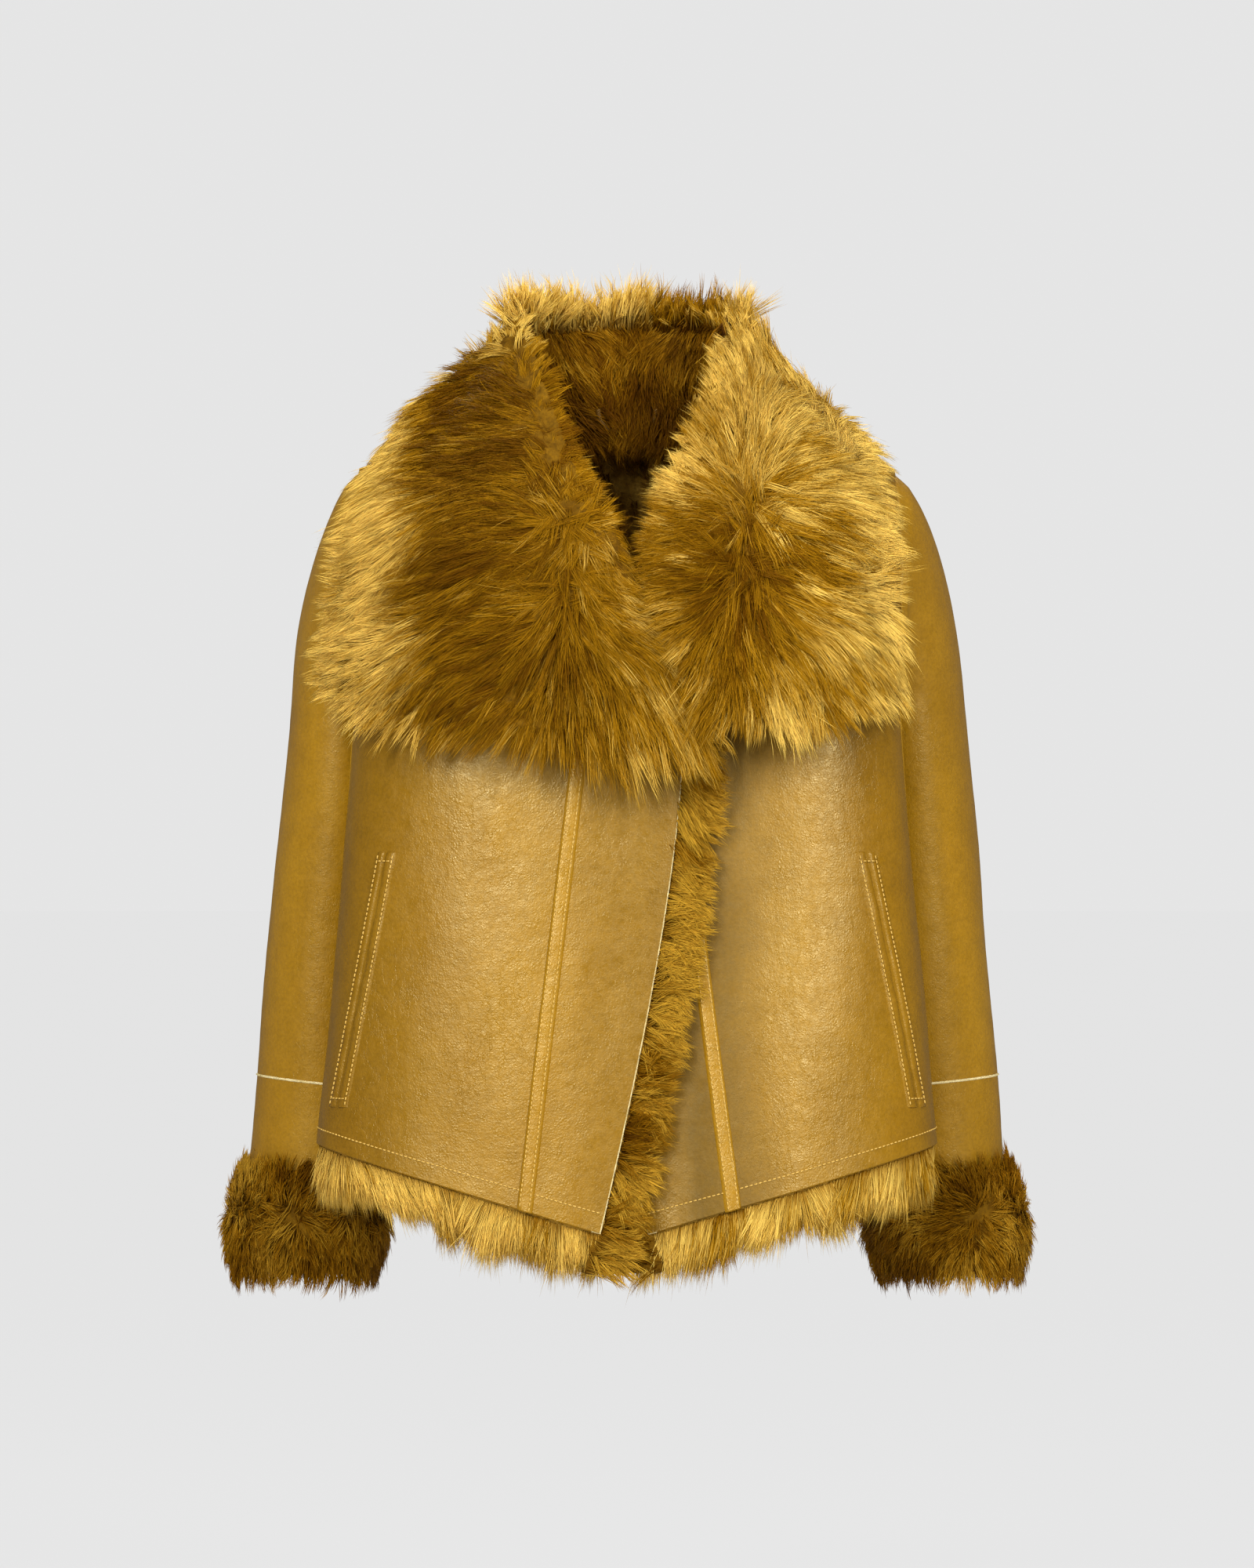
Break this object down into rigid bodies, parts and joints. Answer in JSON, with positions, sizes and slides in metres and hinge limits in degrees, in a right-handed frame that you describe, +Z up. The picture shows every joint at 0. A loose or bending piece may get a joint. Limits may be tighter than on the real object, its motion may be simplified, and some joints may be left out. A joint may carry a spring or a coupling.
{
  "type": "shearling jacket",
  "caption": "Short double-face shearling jacket: smooth leather outside, wool inside, wide fur shawl collar, fur front edge, hem and cuffs, slanted welt pockets.",
  "frame": {"origin": "midway between the shoulder tips, where the neck meets the shoulders, on the line that a hanger or a wearer's shoulders carry", "axes": "+X towards the wearer's left, -Y towards the front, +Z up"},
  "size_m": [0.6334, 0.3463, 0.7519],
  "materials": {
    "leather": "semi-gloss smooth leather, fine grain, mustard",
    "fur_pale": "long sheepskin wool, pale golden tips",
    "fur_dark": "long sheepskin wool, darker ochre brown",
    "raw_edge": "matt raw cut edge, pale",
    "loop_leather": "satin"
  },
  "bodies": {
    "torso": {"back_panel_left": "leather", "back_panel_right": "leather", "centre_back_strip": "leather", "side_panel_left": "leather", "side_panel_right": "leather", "chest_panel_left": "leather", "chest_panel_right": "leather", "collar_stand": "fur_dark", "collar_fall": "fur_pale", "back_hem_fur": "fur_pale", "side_hem_fur_left": "fur_pale", "side_hem_fur_right": "fur_pale"},
    "front_left": {"front_panel_left": "leather", "front_band_left": "leather", "seam_strip_left": "leather", "edge_fur_left": "fur_dark", "hem_fur_left": "fur_pale", "pocket_welt_left": "leather", "pocket_bag_left": "leather"},
    "lapel_left": {"lapel_left": "fur_pale"},
    "upper_sleeve_left": {"upper_sleeve_left": "leather"},
    "lower_sleeve_left": {"lower_sleeve_left": "leather", "cuff_panel_left": "leather", "cuff_seam_welt_left": "raw_edge", "cuff_fur_left": "fur_dark"},
    "front_right": {"front_panel_right": "leather", "front_band_right": "leather", "seam_strip_right": "leather", "edge_fur_right": "fur_dark", "hem_fur_right": "fur_pale", "pocket_welt_right": "leather", "pocket_bag_right": "leather"},
    "lapel_right": {"lapel_right": "fur_pale"},
    "upper_sleeve_right": {"upper_sleeve_right": "leather"},
    "lower_sleeve_right": {"lower_sleeve_right": "leather", "cuff_panel_right": "leather", "cuff_seam_welt_right": "raw_edge", "cuff_fur_right": "fur_dark"},
    "hanger_loop": {"hanger_loop": "loop_leather"}
  },
  "joints": [
    {"name": "front_right_open", "type": "hinge", "parent": "torso", "child": "front_right", "pos_m": [-0.2036, -0.058, -0.227], "axis": [-0.085, 0, -0.9964], "range_deg": [0, 45]},
    {"name": "front_left_open", "type": "hinge", "parent": "torso", "child": "front_left", "pos_m": [0.2036, -0.058, -0.227], "axis": [-0.085, 0, 0.9964], "range_deg": [0, 22.5]},
    {"name": "lapel_right_lift", "type": "hinge", "parent": "torso", "child": "lapel_right", "pos_m": [0, -0.15, -0.1], "axis": [-0.348, 0.587, 0.731], "range_deg": [0, 50]},
    {"name": "lapel_left_lift", "type": "hinge", "parent": "torso", "child": "lapel_left", "pos_m": [0, -0.15, -0.1], "axis": [-0.348, -0.587, -0.731], "range_deg": [0, 40]},
    {"name": "sleeve_left_raise", "type": "hinge", "parent": "torso", "child": "upper_sleeve_left", "pos_m": [0.2036, 0.015, -0.044], "axis": [0, -1, 0], "range_deg": [0, 50]},
    {"name": "sleeve_right_raise", "type": "hinge", "parent": "torso", "child": "upper_sleeve_right", "pos_m": [-0.2036, 0.015, -0.044], "axis": [0, 1, 0], "range_deg": [0, 50]},
    {"name": "elbow_left_bend", "type": "hinge", "parent": "upper_sleeve_left", "child": "lower_sleeve_left", "pos_m": [0.2217, 0.0545, -0.305], "axis": [-0.7071, -0.7071, 0], "range_deg": [0, 70]},
    {"name": "elbow_right_bend", "type": "hinge", "parent": "upper_sleeve_right", "child": "lower_sleeve_right", "pos_m": [-0.2217, 0.0545, -0.305], "axis": [-0.7071, 0.7071, 0], "range_deg": [0, 70]},
    {"name": "hanger_loop_swing", "type": "hinge", "parent": "torso", "child": "hanger_loop", "pos_m": [0, 0.0505, 0.004], "axis": [-1, 0, 0], "range_deg": [0, 100]}
  ],
  "couplings": [
    {"joint": "front_left_open", "follows": "front_right_open", "ratio": 0.5}
  ]
}
